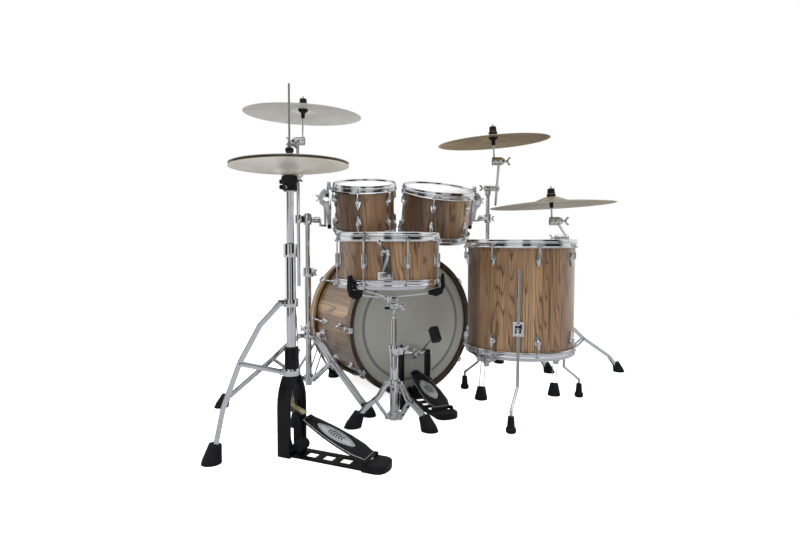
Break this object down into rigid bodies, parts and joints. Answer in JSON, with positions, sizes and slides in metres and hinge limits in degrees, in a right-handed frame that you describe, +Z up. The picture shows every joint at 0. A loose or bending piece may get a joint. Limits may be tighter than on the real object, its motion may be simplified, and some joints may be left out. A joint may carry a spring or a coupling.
{
  "type": "acoustic drum kit",
  "caption": "Acoustic drum kit: bass drum, two rack toms, floor tom and snare in stained veneer, hi-hat, crashes and ride on chrome stands, with pedals.",
  "frame": {"origin": "on the floor, under the middle of the kit's bounding box", "axes": "+Z up, +Y along the bass drum from the drummer to the audience, +X to the drummer's right"},
  "size_m": [2.0297, 1.0805, 1.2331],
  "materials": {
    "shell_veneer": "satin lacquered stained ash veneer with vertical grain",
    "hoop_veneer": "satin lacquered stained wood",
    "drum_head_white": "coated white film",
    "drum_head_grey": "satin film with a darker reinforcement ring",
    "chrome": "polished chrome plate",
    "cymbal_bronze": "lathed cast bronze",
    "black_rubber": "moulded rubber",
    "black_metal": "black powder coat"
  },
  "bodies": {
    "base": {"kick_shell": "shell_veneer", "kick_hoops": "hoop_veneer", "kick_heads": "drum_head_grey", "kick_lugs": "chrome", "kick_claws": "chrome", "kick_spur_brackets": "chrome", "kick_pedal_frame": "black_metal", "floor_tom_legs": "chrome", "snare_stand_base": "chrome", "hihat_base": "black_metal", "hihat_legs": "chrome", "stand_bases": "chrome", "rubber_feet": "black_rubber"},
    "spur_left": {"kick_spur_left": "chrome"},
    "spur_right": {"kick_spur_right": "chrome"},
    "kick_footboard": {"kick_pedal_footboard": "black_metal"},
    "kick_beater": {"kick_pedal_beater": "chrome"},
    "stand1_upper": {"stand1_post": "chrome"},
    "crash1_arm": {"crash1_tilter": "chrome"},
    "crash1": {"crash1_cymbal": "cymbal_bronze"},
    "tom1_rod": {"tom1_arm": "chrome"},
    "tom1": {"tom1_shell": "shell_veneer", "tom1_hoops": "chrome", "tom1_heads": "drum_head_white", "tom1_lugs": "chrome", "tom1_mount": "chrome"},
    "stand2_upper": {"stand2_tube": "chrome"},
    "boom2": {"stand2_boom": "chrome"},
    "crash2_arm": {"crash2_tilter": "chrome"},
    "crash2": {"crash2_cymbal": "cymbal_bronze"},
    "tom2_rod": {"tom2_arm": "chrome"},
    "tom2": {"tom2_shell": "shell_veneer", "tom2_hoops": "chrome", "tom2_heads": "drum_head_white", "tom2_lugs": "chrome", "tom2_mount": "chrome"},
    "stand3_upper": {"stand3_tube": "chrome"},
    "boom3": {"stand3_boom": "chrome"},
    "ride_arm": {"ride_tilter": "chrome"},
    "ride": {"ride_cymbal": "cymbal_bronze"},
    "floor_tom": {"floor_tom_shell": "shell_veneer", "floor_tom_hoops": "chrome", "floor_tom_heads": "drum_head_white", "floor_tom_lugs": "chrome", "floor_tom_brackets": "chrome"},
    "snare_post": {"snare_stand_tube": "chrome"},
    "snare": {"snare_stand_basket": "chrome", "snare_stand_grips": "black_rubber", "snare_shell": "shell_veneer", "snare_hoops": "chrome", "snare_heads": "drum_head_white", "snare_lugs": "chrome", "snare_strainer": "chrome", "snare_wires": "chrome"},
    "snare_throw": {"snare_lever": "chrome"},
    "hihat_upper": {"hihat_upper_tube": "chrome", "hihat_bottom_cymbal": "cymbal_bronze"},
    "hihat_pull": {"hihat_rod": "chrome", "hihat_top_cymbal": "cymbal_bronze"},
    "hihat_board": {"hihat_footboard": "black_metal"}
  },
  "joints": [
    {"name": "kick_pedal", "type": "hinge", "parent": "base", "child": "kick_footboard", "pos_m": [-0.15579, -0.20557, 0.026], "axis": [0.9903, -0.1392, 0], "range_deg": [-10, 0], "stiffness_Nm_per_rad": 4, "springref_deg": 20.05},
    {"name": "beater_swing", "type": "hinge", "parent": "base", "child": "kick_beater", "pos_m": [-0.121, 0.042, 0.186], "axis": [0.9903, -0.1392, 0], "range_deg": [-57, 0]},
    {"name": "spur_right_fold", "type": "hinge", "parent": "base", "child": "spur_right", "pos_m": [0.19067, 0.387, 0.23128], "axis": [0.9744, 0, -0.225], "range_deg": [0, 80]},
    {"name": "spur_left_fold", "type": "hinge", "parent": "base", "child": "spur_left", "pos_m": [-0.40467, 0.387, 0.23128], "axis": [0.9744, 0, 0.225], "range_deg": [0, 80]},
    {"name": "snare_height", "type": "slide", "parent": "base", "child": "snare_post", "axis": [0, 0, 1], "range_m": [0, 0.08]},
    {"name": "snare_tilt", "type": "hinge", "parent": "snare_post", "child": "snare", "pos_m": [-0.345, -0.171, 0.418], "axis": [0.8564, -0.5164, 0], "range_deg": [0, 12]},
    {"name": "snare_throw_off", "type": "hinge", "parent": "snare", "child": "snare_throw", "pos_m": [-0.45066, -0.2947, 0.619], "axis": [0.8387, -0.5446, 0], "range_deg": [0, 80]},
    {"name": "floor_tom_height", "type": "slide", "parent": "base", "child": "floor_tom", "axis": [0, 0, 1], "range_m": [-0.02, 0.03]},
    {"name": "hihat_height", "type": "slide", "parent": "base", "child": "hihat_upper", "axis": [0, 0, 1], "range_m": [-0.06, 0]},
    {"name": "hihat_pedal", "type": "hinge", "parent": "base", "child": "hihat_board", "pos_m": [-0.59865, -0.4632, 0.026], "axis": [0.809, 0.5878, 0], "range_deg": [-1.9, 0], "stiffness_Nm_per_rad": 12, "springref_deg": 28.65},
    {"name": "hihat_pull_rod", "type": "slide", "parent": "base", "child": "hihat_pull", "axis": [0, 0, 1], "range_m": [-0.0067, 0]},
    {"name": "stand1_height", "type": "slide", "parent": "base", "child": "stand1_upper", "axis": [0, 0, 1], "range_m": [-0.05, 0.06]},
    {"name": "crash1_tilt", "type": "hinge", "parent": "stand1_upper", "child": "crash1_arm", "pos_m": [-0.53021, 0.24343, 1.0572], "axis": [0.8564, -0.5164, 0], "range_deg": [-20, 20]},
    {"name": "crash1_spin", "type": "hinge", "parent": "crash1_arm", "child": "crash1", "pos_m": [-0.53, 0.237, 1.16], "axis": [0.002, -0.0624, 0.9981], "continuous": true},
    {"name": "tom1_tilt", "type": "hinge", "parent": "stand1_upper", "child": "tom1_rod", "pos_m": [-0.468, 0.251, 0.742], "axis": [0.995, -0.0995, 0], "range_deg": [-8, 8]},
    {"name": "tom1_turn", "type": "hinge", "parent": "tom1_rod", "child": "tom1", "pos_m": [-0.42851, 0.26579, 0.83617], "axis": [-0.1206, -0.2003, 0.9723], "range_deg": [-2, 8]},
    {"name": "stand2_height", "type": "slide", "parent": "base", "child": "stand2_upper", "axis": [0, 0, 1], "range_m": [0, 0.06]},
    {"name": "boom2_pitch", "type": "hinge", "parent": "stand2_upper", "child": "boom2", "pos_m": [0.37577, 0.09698, 0.905], "axis": [0.8516, -0.5242, 0], "range_deg": [-20, 5]},
    {"name": "crash2_tilt", "type": "hinge", "parent": "boom2", "child": "crash2_arm", "pos_m": [0.17545, -0.11015, 0.98627], "axis": [0.8564, -0.5164, 0], "range_deg": [-15, 15]},
    {"name": "crash2_spin", "type": "hinge", "parent": "crash2_arm", "child": "crash2", "pos_m": [0.169, -0.111, 1.064], "axis": [-0.0827, -0.011, 0.9965], "continuous": true},
    {"name": "tom2_tilt", "type": "hinge", "parent": "stand2_upper", "child": "tom2_rod", "pos_m": [0.296, 0.117, 0.762], "axis": [-0.999, -0.0454, 0], "range_deg": [-3, 5]},
    {"name": "tom2_turn", "type": "hinge", "parent": "tom2_rod", "child": "tom2", "pos_m": [0.26191, 0.10583, 0.84139], "axis": [-0.0434, -0.2586, 0.965], "range_deg": [-2, 5]},
    {"name": "stand3_height", "type": "slide", "parent": "base", "child": "stand3_upper", "axis": [0, 0, 1], "range_m": [-0.01, 0.06]},
    {"name": "boom3_pitch", "type": "hinge", "parent": "stand3_upper", "child": "boom3", "pos_m": [0.68965, -0.05262, 0.672], "axis": [0.6583, -0.7528, 0], "range_deg": [-20, 2]},
    {"name": "ride_tilt", "type": "hinge", "parent": "boom3", "child": "ride_arm", "pos_m": [0.31929, -0.29536, 0.73406], "axis": [0.8564, -0.5164, 0], "range_deg": [-10, 10]},
    {"name": "ride_spin", "type": "hinge", "parent": "ride_arm", "child": "ride", "pos_m": [0.317, -0.294, 0.796], "axis": [-0.037, 0.022, 0.9991], "continuous": true}
  ],
  "couplings": [
    {"joint": "beater_swing", "follows": "kick_pedal", "ratio": 5.7},
    {"joint": "hihat_pull_rod", "follows": "hihat_pedal", "m_per_rad": 0.2}
  ]
}
